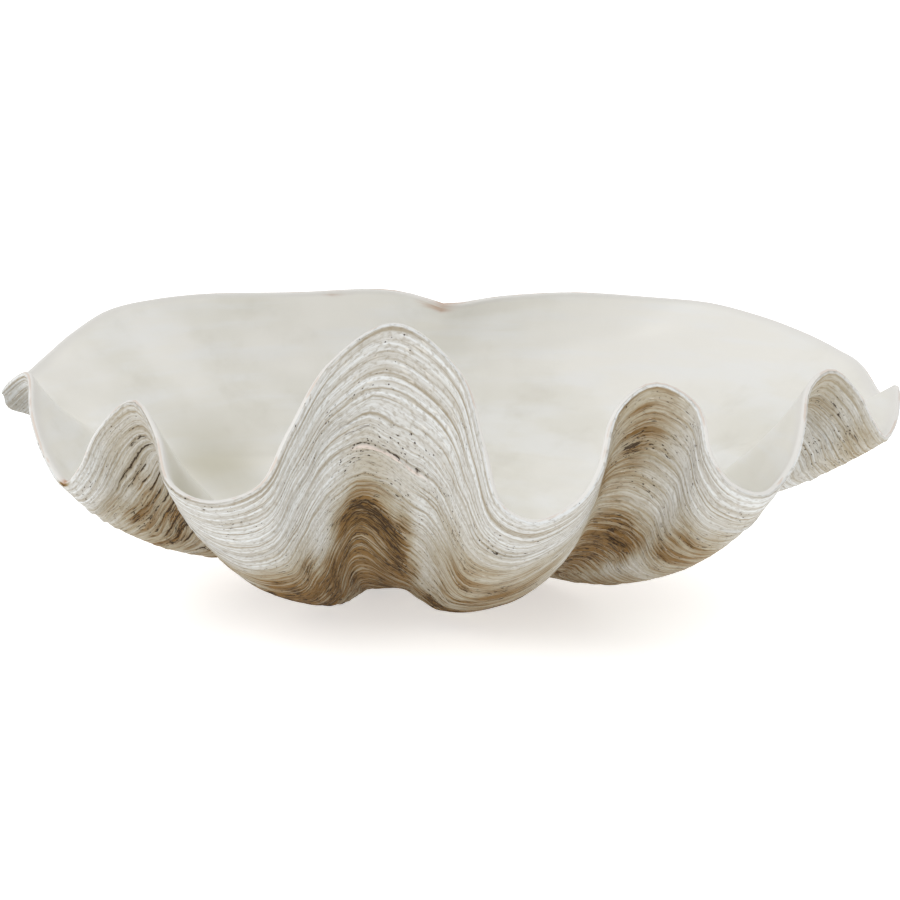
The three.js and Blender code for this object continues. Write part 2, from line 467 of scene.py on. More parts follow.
@dataclass(frozen=True)
class RoughPlace:
    """A place round the rim where the layers are worn more, or less, deeply apart."""

    turn: float
    half_turn: float
    lamella: float  # extra share of the lamella's height
    ridge: float = 0.0  # height of coarse ridges over it, mm
    crack: float = 0.0  # how far the ridges are cracked apart, 0 to 1
    from_age: float = -0.08  # age from which it is rough; the default takes in the rim
    ease: float = 0.08  # further back it has come in fully

    def over(self, turn: np.ndarray, age: np.ndarray) -> np.ndarray:
        """Share of the place, from 0 to 1, at places round the rim and back in growth."""
        begun = smooth_step(self.from_age, self.from_age + self.ease, age)
        return bell(turn, self.turn, self.half_turn) * begun


ROUGH_PLACES = (
    RoughPlace(0.680, 0.028, 0.5, 3.8, 1.0),  # fold 1, deeply cracked
    RoughPlace(0.288, 0.026, 0.2, 1.8, 0.2),  # fold 4
    RoughPlace(0.398, 0.026, -0.2, 2.4, 0.3),  # fold 3, coarsely ridged
    RoughPlace(0.422, 0.014, -0.4),  # its left side, worn smooth
    RoughPlace(0.614, 0.032, 0.0, 1.3, 0.85, 0.17),  # belly of rib B
    RoughPlace(0.545, 0.020, 0.0, 0.9, 0.50, 0.20),  # hollow of the tall fold
    RoughPlace(0.474, 0.038, 0.0, 1.3, 0.75, 0.19),  # belly of rib C
)


@dataclass
class Lamellae:
    """The stacked growth edges of the outside, each abrupt towards the rim and sloping to the beak."""

    path: float = 550.0  # length of the growth from beak to front rim along the wall, mm
    first: float = 1.0  # depth of the youngest layer's edge behind the rim, mm
    width: float = 4.7  # middle width of a layer, mm
    unevenness: float = 0.42  # spread of the widths
    width_limits: Span = (0.5, 2.1)  # least and most that a layer has of the middle width
    old_from: float = 0.55  # size from which layers are wider towards the beak
    old_widening: float = 1.5
    oldest: float = 0.30  # size at which they are worn away
    fading: Span = (0.85, 1.12)  # they fade out between these ages, each less that size
    worn_rows: int = 16
    worn_ridge: float = 0.3  # share of the height at which the worn rows stand
    width_seed: int = 11

    wander: float = 6.0  # how far an edge strays from the true growth line, mm
    wide_stray: PatchNoise = PatchNoise(34, 9, 12)
    middle_stray: PatchNoise = PatchNoise(90, 22, 13)
    middle_share: float = 0.35
    ragged: float = 1.1  # how far its small teeth stray, mm
    fine_stray: PatchNoise = PatchNoise(230, 80, 14)
    steady_rim: float = 0.10  # age up to which the rim holds the edges back
    steady_beak: float = 0.25  # size up to which the beak does
    pull_beak: float = 0.4  # size up to which the beak holds back the pulls in the folds

    height: float = 0.36  # middle height of a layer's edge, mm
    height_spread: Span = (0.15, 1.4)  # least and most that a layer has of it
    major_share: float = 0.13  # share of the layers that stand out
    major_height: float = 1.05  # mm
    height_seed: int = 17
    usual: float = 0.7  # share of a height that stands where no noise changes it
    own_swing: float = 0.8  # change along each layer of its own
    own_cells: int = 58
    own_seed: int = 15
    slow_swing: float = 0.4  # change from region to region
    slow: PatchNoise = PatchNoise(24, 12, 16)
    swing_limits: Span = (0.05, 1.7)
    spread_limits: Span = (0.12, 1.0)  # the layers lie flatter where the growth is crowded

    coarse_width: float = 11.0  # width of a coarse ridge, mm
    coarse_rise: float = 0.16  # share of it that is the abrupt side
    coarse_stray: float = 1.1  # how far it strays, in widths of a ridge
    coarse_wave: PatchNoise = PatchNoise(26, 12, 19)
    coarse_uneven: PatchNoise = PatchNoise(60, 40, 22)
    coarse_limits: Span = (0.1, 1.2)
    coarse_start: float = 0.05  # age at which the coarse ridges have come in
    crack_breaks: PatchNoise = PatchNoise(110, 46, 20)
    crack_reach: Span = (-0.35, 0.15)  # noise over which a crack opens
    crack_start: Span = (0.02, 0.05)  # ages over which the cracks come in
    crack_sharpness: int = 5

    ledge_age: float = 0.105  # age of the broken ledge over the hollow of the tall fold
    ledge_height: float = 4.6  # mm
    ledge_turn: float = 0.535  # place of its middle round the rim
    ledge_half_turn: float = 0.016
    ledge_uneven: PatchNoise = PatchNoise(210, 3, 18)
    break_swing: float = 0.6  # change in the height of the ledge and of the coarse ridges
    ledge_breaks: PatchNoise = PatchNoise(240, 2, 21)
    edge_reach: Span = (-0.6, 0.3)  # noise over which its pale edge shows
    foot_reach: Span = (-0.1, 0.4)  # noise over which the crack at its foot opens
    bare_band: tuple[float, float, float, float] = (0.112, 0.125, 0.150, 0.165)  # ages under the ledge
    bare_wear: float = 0.85  # share of the layers' height that is worn off there

    NARROW = ((0.0, 0.0), (0.28, 1.0), (0.68, 0.45))  # share of the layer, share of the height
    WIDE = ((0.0, 0.0), (0.15, 1.0), (0.48, 0.62), (0.80, 0.20))

    def rows(self) -> list[Row]:
        """Lay out the rows of the outside, a few to each layer.

        Returns:
            The rows from the beak to the rim.
        """
        rng = np.random.default_rng(self.width_seed)
        found: list[Row] = []
        depth, layer = self.first, 0
        while depth < self.path * (1 - self.oldest):
            old = self.old_widening if depth > self.path * (1 - self.old_from) else 1.0
            width = self.width * old * float(np.clip(rng.lognormal(0, self.unevenness), *self.width_limits))
            for place, ridge in self.WIDE if width > self.width else self.NARROW:
                found.append(Row(Face.OUTSIDE, 1 - (depth + place * width) / self.path, ridge, layer))
            depth += width
            layer += 1
        worn = np.linspace(found[-1].size, 0, self.worn_rows + 1)[1:]
        found.extend(Row(Face.OUTSIDE, float(size), self.worn_ridge, layer) for size in worn)
        return [*reversed(found), Row(Face.OUTSIDE, 1.0)]

    def strayed(self, turn: np.ndarray, size: np.ndarray) -> np.ndarray:
        """Let the growth edges stray from the true growth lines, but not cross.

        Args:
            turn: Places round the rim.
            size: Size of the valve at each growth line.

        Returns:
            Sizes with the stray added, unchanged at the rim and the beak.
        """
        age = 1 - size
        taper = smooth_step(0, self.steady_rim, age) * smooth_step(0, self.steady_beak, size)
        wide, middle = self.wide_stray.at(turn, age), self.middle_stray.at(turn, age)
        fine = self.fine_stray.at(turn, age)
        stray = self.wander * (wide + self.middle_share * middle) + self.ragged * fine
        pulled = sum(pull.over(turn, age) for pull in LINE_PULLS) * smooth_step(0, self.pull_beak, size)
        return size + (stray * taper + pulled) / self.path

    def coarse(self, turn: np.ndarray, age: np.ndarray) -> np.ndarray:
        """Coarse ridges that gather a few layers, 0 in their cracks and 1 on their crests.

        Args:
            turn: Places round the rim.
            age: Places back in growth.

        Returns:
            Shares from 0 to 1.
        """
        stray = self.coarse_stray * self.coarse_wave.at(turn, age)
        place = (age * self.path / self.coarse_width + stray) % 1
        return np.minimum(place / self.coarse_rise, (1 - place) / (1 - self.coarse_rise))

    def cracks(self, turn: np.ndarray, age: np.ndarray) -> np.ndarray:
        """Broken cracks along the feet of the coarse ridges.

        Args:
            turn: Places round the rim.
            age: Places back in growth.

        Returns:
            Shares from 0 to 1.
        """
        broken = smooth_step(*self.crack_reach, self.crack_breaks.at(turn, age))
        place = sum(rough.crack * rough.over(turn, age) for rough in ROUGH_PLACES)
        foot = (1 - self.coarse(turn, age)) ** self.crack_sharpness
        return place * broken * smooth_step(*self.crack_start, age) * foot

    def near_ledge(self, turn: np.ndarray) -> np.ndarray:
        """Share of the broken ledge at places round the rim, from 0 to 1."""
        return bell(turn, self.ledge_turn, self.ledge_half_turn)

    def bare(self, turn: np.ndarray, age: np.ndarray) -> np.ndarray:
        """Share of the smooth band under the ledge, from 0 to 1."""
        start, full, ebb, end = self.bare_band
        return self.near_ledge(turn) * smooth_step(start, full, age) * (1 - smooth_step(ebb, end, age))

    def ledge(self, turn: np.ndarray, rows: list[Row]) -> tuple[np.ndarray, np.ndarray]:
        """The pale edge of the broken ledge and the crack at its foot.

        Args:
            turn: Places round the rim, one for each column.
            rows: Rows of the outside.

        Returns:
            Shares from 0 to 1, rows by columns, for the edge and for the crack.
        """
        layer = self.ledge_layer(rows)
        edge = np.array([row.ridge if row.layer == layer else 0.0 for row in rows])[:, None]
        foot = np.array([float(row.layer == layer and row.ridge == 0) for row in rows])[:, None]
        broken = self.ledge_breaks.at(turn, np.zeros_like(turn))
        near = self.near_ledge(turn)
        pale, crack = smooth_step(*self.edge_reach, broken), smooth_step(*self.foot_reach, broken)
        return edge * near * pale, foot * near * crack

    def relief(self, turn: np.ndarray, rows: list[Row], spread: np.ndarray) -> np.ndarray:
        """Height of the lamellae over the plain growth surface.

        Args:
            turn: Places round the rim, one for each column.
            rows: Rows of the outside.
            spread: Local width of the growth against its width at the front.

        Returns:
            Heights in mm, rows by columns.
        """
        layers = np.array([row.layer for row in rows])
        ridge = np.array([row.ridge for row in rows])[:, None]
        age = 1 - np.array([row.size for row in rows])[:, None]
        count = int(layers.max()) + 1
        own = PatchNoise(self.own_cells, count, self.own_seed).at(turn, layers[:, None] / count)
        swing = self.usual + self.own_swing * own + self.slow_swing * self.slow.at(turn, age)
        rng = np.random.default_rng(self.height_seed)
        strength = rng.uniform(*self.height_spread, count) * self.height
        strength[rng.uniform(size=count) < self.major_share] = self.major_height
        height = strength[layers][:, None] * np.clip(swing, *self.swing_limits)
        height = height * (1 + sum(rough.lamella * rough.over(turn, age) for rough in ROUGH_PLACES))
        height = height * (1 - self.bare_wear * self.bare(turn, age))
        ledge = (layers == self.ledge_layer(rows))[:, None]
        broken = self.usual + self.break_swing * self.ledge_uneven.at(turn, age)
        step = self.ledge_height * self.near_ledge(turn) * broken
        height = np.where(ledge, np.maximum(height, step), height)
        uneven = self.usual + self.break_swing * self.coarse_uneven.at(turn, age)
        ridges = sum(rough.ridge * rough.over(turn, age) for rough in ROUGH_PLACES)
        ridges = ridges * self.coarse(turn, age) * np.clip(uneven, *self.coarse_limits)
        ridges = ridges * smooth_step(0.0, self.coarse_start, age)
        start, end = (limit - self.oldest for limit in self.fading)
        worn = 1 - smooth_step(start, end, age)
        return (ridge * height + ridges) * np.clip(spread, *self.spread_limits) * worn

    def ledge_layer(self, rows: list[Row]) -> int:
        """Number of the layer whose edge is the broken ledge."""
        edges = {row.layer: 1 - row.size for row in rows if row.ridge == 0}
        return min(edges, key=lambda layer: abs(edges[layer] - self.ledge_age))


@dataclass(frozen=True)
class GrownPatch:
    """A soft patch of silt or swelling: its middle and half widths round the rim and back in growth."""

    turn: float
    age: float
    half_turn: float
    half_age: float
    strength: float

    def over(self, turn: np.ndarray, age: np.ndarray) -> np.ndarray:
        """Strength of the patch at places round the rim and back in growth."""
        back = np.exp(-(((age - self.age) / self.half_age) ** 2))
        return self.strength * bell(turn, self.turn, self.half_turn) * back


TIP_BULGE = GrownPatch(0.784, 0.030, 0.016, 0.030, 6.0)  # full underside of the left tip, mm

SILT_PATCHES = (
    GrownPatch(0.544, 0.25, 0.022, 0.090, 1.45),  # deep hollow of the tall fold
    GrownPatch(0.526, 0.29, 0.010, 0.13, 1.15),  # its side towards rib C
    GrownPatch(0.541, 0.13, 0.018, 0.05, 0.42),  # film under the ledge
    GrownPatch(0.578, 0.32, 0.028, 0.09, 1.10),  # its side towards rib B
    GrownPatch(0.612, 0.27, 0.030, 0.10, 1.25),  # belly of rib B
    GrownPatch(0.408, 0.05, 0.021, 0.16, 0.92),  # under fold 3
    GrownPatch(0.416, 0.12, 0.018, 0.14, 0.85),  # left wall of fold 3
    GrownPatch(0.405, 0.26, 0.030, 0.09, 1.15),  # hollow of fold 3
    GrownPatch(0.294, 0.04, 0.026, 0.14, 0.42),  # under fold 4
    GrownPatch(0.262, 0.04, 0.018, 0.11, 0.62),  # belly of rib E
    GrownPatch(0.668, 0.09, 0.034, 0.14, 0.50),  # under fold 1
    GrownPatch(0.652, 0.24, 0.026, 0.10, 1.30),  # recess beside fold 1
    GrownPatch(0.690, 0.21, 0.040, 0.10, 1.05),  # belly of rib A
    GrownPatch(0.704, 0.11, 0.018, 0.06, 0.45),  # its side towards fold 1
    GrownPatch(0.472, 0.23, 0.042, 0.13, 0.90),  # belly of rib C
    GrownPatch(0.355, 0.19, 0.030, 0.12, 0.85),  # belly of rib D
    GrownPatch(0.615, 0.37, 0.050, 0.06, 1.35),  # low side of rib B
    GrownPatch(0.475, 0.36, 0.045, 0.06, 1.25),  # low side of rib C
    GrownPatch(0.784, 0.03, 0.020, 0.08, 0.12),  # left end
)

RINSED_PATCHES = (
    GrownPatch(0.380, 0.25, 0.012, 0.14, 0.65),  # right wall of fold 3
    GrownPatch(0.500, 0.30, 0.010, 0.14, 0.55),  # right wall of the tall fold
)

# Grey patches: grey weathering on fold 4, and painted shade on the underside of the left tip.
GREY_AND_SHADE_PATCHES = (
    GrownPatch(0.784, 0.03, 0.018, 0.06, 1.0),  # left tip: painted shade where it faces down, with grey weathering
    GrownPatch(0.290, 0.06, 0.030, 0.10, 0.30),  # fold 4
)

INSIDE_STAINS = (
    GrownPatch(0.7155, 0.0, 0.0030, 0.012, 1.3),  # lip of rib A
    GrownPatch(0.9985, 0.02, 0.0060, 0.030, 0.8),  # notch over the beak
    GrownPatch(0.957, 0.01, 0.0040, 0.012, 0.5),  # knuckle beside the notch
)

# Painted shade on the inside: an olive-grey darkening over the hollows of ribs B and D and the bowl floor at
# the left, where the folds shade them.
INSIDE_PAINTED_SHADES = (
    GrownPatch(0.622, 0.05, 0.034, 0.22, 1.0),  # hollow of rib B
    GrownPatch(0.350, 0.05, 0.030, 0.18, 0.45),  # hollow of rib D
    GrownPatch(0.775, 0.47, 0.045, 0.15, 0.85),  # bowl floor at the left
)


@dataclass(frozen=True)
class SiltCover:
    """How brown the outside has gone: sheltered arches first, then the belly, least at the back."""

    arch_height: float = 70  # rise of the rim over its plain margin that makes a full arch, mm
    arch_limits: Span = (-0.6, 1)
    behind: Span = (-0.50, -0.05)  # facing away from the front over which the look of the back comes in
    broad: PatchNoise = PatchNoise(46, 16, 71)
    broad_share: float = 0.6
    narrow: PatchNoise = PatchNoise(130, 50, 72)
    narrow_share: float = 0.4
    clouds: PatchNoise = PatchNoise(17, 5, 73)
    start: float = 0.19  # age at which the silt of the front starts
    arch_start: float = 0.07  # how much earlier it starts under a full arch
    patchy_start: float = 0.035
    ease: float = 0.15  # further back it has come in fully
    open_soil: float = 0.72  # full silt in the open
    arch_soil: float = 0.28  # added under a full arch
    back_soil: float = 0.46  # silt of the back at its oldest
    back_full: float = 0.8  # age at which it is reached
    cloud_blotch: float = 0.20
    patchy_blotch: float = 0.14
    blotch_full: float = 0.2  # age at which the blotches have come in
    patch_share: float = 0.85
    patch_swing: float = 0.3
    share: float = 0.95
    swing: float = 0.2
    most: float = 1.15

    def over(self, law: GrowthLaw, turn: np.ndarray, age: np.ndarray) -> np.ndarray:
        """Silt at places on the outside.

        Args:
            law: Growth law of the valve, which knows its folds and its back.
            turn: Places round the rim.
            age: Places back in growth.

        Returns:
            Shares from 0 to a little over 1.
        """
        arch = np.clip(law.crest(turn) / self.arch_height, *self.arch_limits)
        behind = smooth_step(*self.behind, -law.facing(turn))
        patchy = self.broad.at(turn, age) * self.broad_share + self.narrow.at(turn, age) * self.narrow_share
        start = self.start - self.arch_start * arch + self.patchy_start * patchy
        clean = sum(patch.over(turn, age) for patch in RINSED_PATCHES)
        sheltered = smooth_step(0, 1, (age - start) / self.ease) * (1 - clean)
        front = sheltered * (self.open_soil + self.arch_soil * np.clip(arch, 0, 1))
        blotches = self.cloud_blotch * self.clouds.at(turn, age) + self.patchy_blotch * patchy
        blotches = blotches * smooth_step(0, self.blotch_full, age)
        back = self.back_soil * smooth_step(0.0, self.back_full, age) + blotches
        stain = front * (1 - behind) + back * behind
        for patch in SILT_PATCHES:
            stain = np.maximum(stain, patch.over(turn, age) * (self.patch_share + self.patch_swing * patchy))
        return np.clip(stain * (self.share + self.swing * patchy), 0, self.most)


@dataclass
class ClamValve:
    """The half shell: one grown wall with a lamellar outside, a rounded lip and a smooth inside."""

    law: GrowthLaw = field(default_factory=GrowthLaw)
    lamellae: Lamellae = field(default_factory=Lamellae)
    silt: SiltCover = SiltCover()
    column_count: int = 308
    back_density: float = 0.45  # columns to the millimetre at the back against the front
    lip_rows: int = 4
    lip_crown: float = 2.2  # rise of the rounded lip over its two corners, mm
    lip_grain: float = 2.0  # growth that the grain counts for each radian over the lip, mm
    edge_width: float = 24.0  # worn border inside the lip, mm
    inner_rows: int = 40
    inner_crowding: float = 1.3  # power that crowds the inside rows towards the rim
    inner_wave: PatchNoise = PatchNoise(40, 9, 41)
    inner_undulation: float = 0.9  # mm
    wave_rim: float = 0.12  # age up to which the rim holds the wave back
    wave_beak: float = 0.3  # size up to which the beak does
    bulge_start: float = 0.02  # age at which the left tip's bulge has come in
    least_step: float = 1e-9  # least change of size that the growth's width is divided by
    crack_depth: float = 0.9  # added to the groove value in the cracks
    crack_soil: float = 0.3  # added to the stain there
    ledge_split: float = 0.8  # darkness of the crack under the ledge against the others
    tip_painted_shade: float = 0.10  # painted shade on the underside of the left tip: added to the groove value for each mm of its bulge
    weld: float = 2e-5  # m

    def placed(self, points: np.ndarray) -> np.ndarray:
        """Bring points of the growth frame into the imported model's frame and wear the belly flat.

        Args:
            points: Points in millimetres of the growth frame.

        Returns:
            Points in metres, none of them under the resting plane.
        """
        low, high = (np.array(corner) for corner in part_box("shell"))
        scale = (high[0] - low[0]) / GROWTH_LENGTH
        moved = (points - np.array(GROWTH_LOW_CORNER)) * scale + low
        moved[..., 2] = np.maximum(moved[..., 2], low[2])
        return moved

    def _outside(self, turn: np.ndarray, rows: list[Row]) -> dict[str, np.ndarray]:
        """Points and surface values of the outside rows.

        Args:
            turn: Place of each column round the rim.
            rows: Rows of the outside.

        Returns:
            Points (mm) and the surface values by name, rows by columns.
        """
        size = np.array([row.size for row in rows])[:, None] * np.ones_like(turn)
        turns, age = np.broadcast_to(turn, size.shape), 1 - size
        strayed = self.lamellae.strayed(turns, size)
        plain = self.law.outside(turns, strayed)
        growth = np.gradient(plain, axis=0)
        along = np.gradient(np.concatenate([plain[:, -2:-1], plain, plain[:, 1:2]], 1), axis=1)[:, 1:-1]
        out = unit(np.cross(along, growth))
        out *= np.sign(np.sum(out * (plain - plain.mean((0, 1))), axis=-1).mean())
        change = np.maximum(np.abs(np.gradient(strayed, axis=0)), self.least_step)
        spread = np.linalg.norm(growth, axis=-1) / change / self.lamellae.path
        relief = self.lamellae.relief(turn, rows, spread)
        ridge = np.array([row.ridge for row in rows])[:, None]
        cracks = self.lamellae.cracks(turn, age)
        edge, foot = self.lamellae.ledge(turn, rows)
        tip = TIP_BULGE.over(turns, age)
        bulge = tip * smooth_step(0, self.bulge_start, age)
        return {
            "points": plain + out * (relief + bulge)[..., None],
            # the groove value also darkens the left tip as painted shade
            "groove": 1 - ridge + self.crack_depth * cracks + self.tip_painted_shade * tip,
            "stain": self.silt.over(self.law, turns, age) + self.crack_soil * cracks,
            "split": np.maximum(cracks, foot * self.ledge_split),
            "ledge": edge,
            "bare": self.lamellae.bare(turns, age),
            # grey weathering, and painted shade on the left tip
            "grey": sum(patch.over(turns, age) for patch in GREY_AND_SHADE_PATCHES),
            "lip": np.zeros_like(size),
        }

    def _inside(self, turn: np.ndarray, rows: list[Row]) -> dict[str, np.ndarray]:
        """Points and surface values of the lip and inside rows.

        Args:
            turn: Place of each column round the rim.
            rows: Rows of the lip and the inside.

        Returns:
            Points (mm) and the surface values by name, rows by columns.
        """
        size = np.array([row.size for row in rows])[:, None] * np.ones_like(turn)
        turns, age = np.broadcast_to(turn, size.shape), 1 - size
        points = self.law.inside(turns, size)
        one = np.ones_like(turn)
        corner, step = self.law.outside(turn, one), self.law.lip_step(turn)
        up = unit(corner - self.law.outside(turn, one * self.law.near_size))
        wave = self.inner_wave.at(turns, age) * smooth_step(0, self.wave_rim, age)
        wave = wave * smooth_step(0, self.wave_beak, size)
        points += unit(step) * wave[..., None] * self.inner_undulation
        lip = 1 + np.clip(age * self.lamellae.path / self.edge_width, 0, 1)
        stain = sum(patch.over(turns, age) for patch in INSIDE_STAINS)
        for k, row in enumerate(rows):
            if row.lip:
                across, rise = (1 - math.cos(row.lip)) / 2, math.sin(row.lip)
                points[k] = corner + step * across + up * rise * self.lip_crown
                lip[k] = across
        # painted shade in the hollows and on the bowl floor at the left; the inside carries it in its groove
        # value
        painted_shade = sum(patch.over(turns, age) for patch in INSIDE_PAINTED_SHADES)
        flat = np.zeros_like(size)
        outer_only = {name: flat for name in ("split", "ledge", "bare", "grey")}
        return {"points": points, "groove": painted_shade, "stain": stain, "lip": lip, **outer_only}

    def _rows(self) -> list[Row]:
        """Lay out all rows of the wall.

        Returns:
            The rows from the outer beak over the lip to the inner beak.
        """
        angles = [math.pi * k / (self.lip_rows + 1) for k in range(1, self.lip_rows + 1)]
        chalky = self.lip_rows // 2
        sides = [Face.OUTSIDE if k < chalky else Face.INSIDE for k in range(self.lip_rows)]
        lip = [Row(side, 1.0, lip=angle) for side, angle in zip(sides, angles)]
        shares = np.linspace(0, 1, self.inner_rows) ** self.inner_crowding
        inner = [Row(Face.INSIDE, float(1 - share)) for share in shares]
        return [*self.lamellae.rows(), *lip, *inner]

    def build(self) -> bpy.types.Object:
        """Make the valve's mesh from one grid wrapped over the wall.

        Returns:
            The finished object, at the origin, with its place in its mesh.
        """
        rows = self._rows()
        turn = self.law.columns(self.column_count, self.back_density)
        outer = [row for row in rows if row.face is Face.OUTSIDE and not row.lip]
        inner = rows[len(outer) :]
        faces = (self._outside(turn, outer), self._inside(turn, inner))
        values = {key: np.concatenate([part[key] for part in faces]) for key in faces[0]}
        size = np.array([row.size for row in rows])[:, None]
        radius = size * self.law.rim_length / (2 * math.pi)
        over_lip = np.array([row.lip for row in rows])[:, None]
        depth = (1 - size) * self.lamellae.path - self.lip_grain * over_lip
        turning = 2 * math.pi * turn
        around = (radius * np.cos(turning), radius * np.sin(turning), depth * np.ones_like(turn))
        flow = np.stack(around, -1) * MILLIMETRE
        points = self.placed(values["points"])

        wall = bmesh.new()
        bmesh.ops.create_grid(wall, x_segments=self.column_count, y_segments=len(rows) - 1, size=1)
        flow_layer = wall.verts.layers.float_vector.new("flow")
        layers = {key: wall.verts.layers.float.new(key) for key in values if key != "points"}
        last_row, last_column = len(rows) - 1, self.column_count
        for patch in wall.faces:
            row = int((patch.calc_center_median().y + 1) / 2 * last_row)
            patch.material_index = rows[row].face if rows[row + 1].face is rows[row].face else Face.INSIDE
            patch.smooth = True
        for vert in wall.verts:
            column, row = round((vert.co.x + 1) / 2 * last_column), round((vert.co.y + 1) / 2 * last_row)
            vert.co = points[row, column]
            vert[flow_layer] = flow[row, column]
            for key, layer in layers.items():
                vert[layer] = values[key][row, column]
        bmesh.ops.remove_doubles(wall, verts=wall.verts, dist=self.weld)
        bmesh.ops.recalc_face_normals(wall, faces=wall.faces)
        mesh = bpy.data.meshes.new("clam_valve")
        wall.to_mesh(mesh)
        wall.free()
        valve = bpy.data.objects.new("clam_valve", mesh)
        bpy.context.scene.collection.objects.link(valve)
        return valve


def add_node(
    tree: bpy.types.NodeTree, kind: str, inputs: dict[Any, Any] | None = None, **settings: Any
) -> Any:
    """Add a node with its settings and links.

    Args:
        tree: Node tree that gets the node.
        kind: Blender's name for the node.
        inputs: Values or sockets for its inputs, by name or number.
        settings: Properties of the node.

    Returns:
        The node.
    """
    node = tree.nodes.new(kind)
    for name, value in settings.items():
        setattr(node, name, value)
    for key, value in (inputs or {}).items():
        if isinstance(value, bpy.types.NodeSocket):
            tree.links.new(value, node.inputs[key])
        else:
            node.inputs[key].default_value = value
    return node


def weighed(
    tree: bpy.types.NodeTree, values: dict[str, Any], weights: Weights
) -> bpy.types.NodeSocket:
    """Add up a surface's values, each with its own weight.

    Args:
        tree: Node tree that gets the sum.
        values: The surface's values by name.
        weights: Names of the values to add up, with their weights.

    Returns:
        Socket of the sum.
    """
    total: Any = 0.0
    for name, weight in weights:
        inputs = {0: values[name], 1: weight, 2: total}
        total = add_node(tree, "ShaderNodeMath", inputs, operation="MULTIPLY_ADD").outputs[0]
    return total


@dataclass(frozen=True)
class Reach:
    """A range of one value, and the range that it is eased to."""

    low: float
    high: float
    start: float = 0.0
    end: float = 1.0

    def inputs(self, value: Any) -> dict[str, Any]:
        """Inputs of the node that eases the value."""
        ends = {"From Min": self.low, "From Max": self.high, "To Min": self.start, "To Max": self.end}
        return {"Value": value, **ends}


@dataclass(frozen=True)
class Grain:
    """Noise drawn out along the growth lines, with its grain in millimetres of the surface."""

    name: str
    along: float
    across: float
    detail: float  # levels of finer grain
    offset: float  # shift that makes it unlike the others

    def place(self, tree: bpy.types.NodeTree) -> bpy.types.NodeSocket:
        """Lay coordinates along the growth lines.

        Args:
            tree: Node tree that gets them.

        Returns:
            Socket of the coordinates, one unit to each grain.
        """
        flow = add_node(tree, "ShaderNodeAttribute", attribute_name="flow").outputs["Vector"]
        scale = [1 / (size * MILLIMETRE) for size in (self.along, self.along, self.across)]
        inputs = {"Vector": flow, "Scale": scale, "Location": (self.offset,) * 3}
        return add_node(tree, "ShaderNodeMapping", inputs).outputs[0]

    def noise(self, tree: bpy.types.NodeTree) -> bpy.types.NodeSocket:
        """Noise of this grain, 0 to 1 round 0.5."""
        inputs = {"Vector": self.place(tree), "Scale": 1.0, "Detail": self.detail}
        return add_node(tree, "ShaderNodeTexNoise", inputs).outputs["Fac"]


@dataclass(frozen=True)
class Coat:
    """A colour laid over what is beneath it, where one of the surface's values is high."""

    colour: str
    value: str  # name of that value
    low: float  # value at which the coat starts
    high: float  # value at which it is full
    cover: float = 1.0  # share of the colour beneath that it hides there

    UNDER = 6  # the mix node's inputs for its two colours, which share their names with others
    OVER = 7

    def over(self, tree: bpy.types.NodeTree, under: Any, values: dict[str, Any]) -> bpy.types.NodeSocket:
        """Lay the coat.

        Args:
            tree: Node tree that gets the coat.
            under: Colour beneath.
            values: The surface's values by name.

        Returns:
            Socket of the colour with the coat on it.
        """
        spread = Reach(self.low, self.high, end=self.cover).inputs(values[self.value])
        share = add_node(tree, "ShaderNodeMapRange", spread, interpolation_type="SMOOTHSTEP").outputs[0]
        colours = {0: share, self.UNDER: under, self.OVER: linear_colour(self.colour)}
        return add_node(tree, "ShaderNodeMix", colours, data_type="RGBA").outputs[2]


class Finish:
    """A material made of nodes; each finish adds its own nodes in `lay`."""

    name: str
    height: Weights = ()  # values that raise and lower the fine relief
    bump: float = 0.0  # share of the relief that shows
    bump_height: float = 0.0  # mm

    def make(self) -> bpy.types.Material:
        """Make the material.

        Returns:
            The material, with its nodes.
        """
        material = bpy.data.materials.new(self.name)
        material.use_nodes = True
        tree = material.node_tree
        tree.nodes.clear()
        shader = add_node(tree, "ShaderNodeBsdfPrincipled")
        add_node(tree, "ShaderNodeOutputMaterial", {"Surface": shader.outputs[0]})
        self.lay(tree, shader)
        return material

    def lay(self, tree: bpy.types.NodeTree, shader: bpy.types.Node) -> None:
        """Add the finish's own nodes to the tree and wire them to the shader."""
        raise NotImplementedError

    def paint(
        self, tree: bpy.types.NodeTree, shader: bpy.types.Node, base: str,
        coats: tuple[Coat, ...], values: dict[str, Any],
    ) -> None:
        """Lay all coats over the base colour.

        Args:
            tree: Node tree of the material.
            shader: Shader that gets the colour.
            base: Colour under all coats.
            coats: Coats from the lowest up.
            values: The surface's values by name.
        """
        colour: Any = linear_colour(base)
        for coat in coats:
            colour = coat.over(tree, colour, values)
        tree.links.new(colour, shader.inputs["Base Color"])

    def emboss(self, tree: bpy.types.NodeTree, shader: bpy.types.Node, values: dict[str, Any]) -> None:
        """Give the surface its fine relief.

        Args:
            tree: Node tree of the material.
            shader: Shader that gets the relief.
            values: The surface's values by name.
        """
        height = weighed(tree, values, self.height)
        relief = {"Height": height, "Strength": self.bump, "Distance": self.bump_height * MILLIMETRE}
        bump = add_node(tree, "ShaderNodeBump", relief)
        tree.links.new(bump.outputs[0], shader.inputs["Normal"])


@dataclass(frozen=True)
class Bore:
    """A kind of pit or crack: what it comes from, and the sum over which it opens."""

    weights: Weights
    opening: Reach


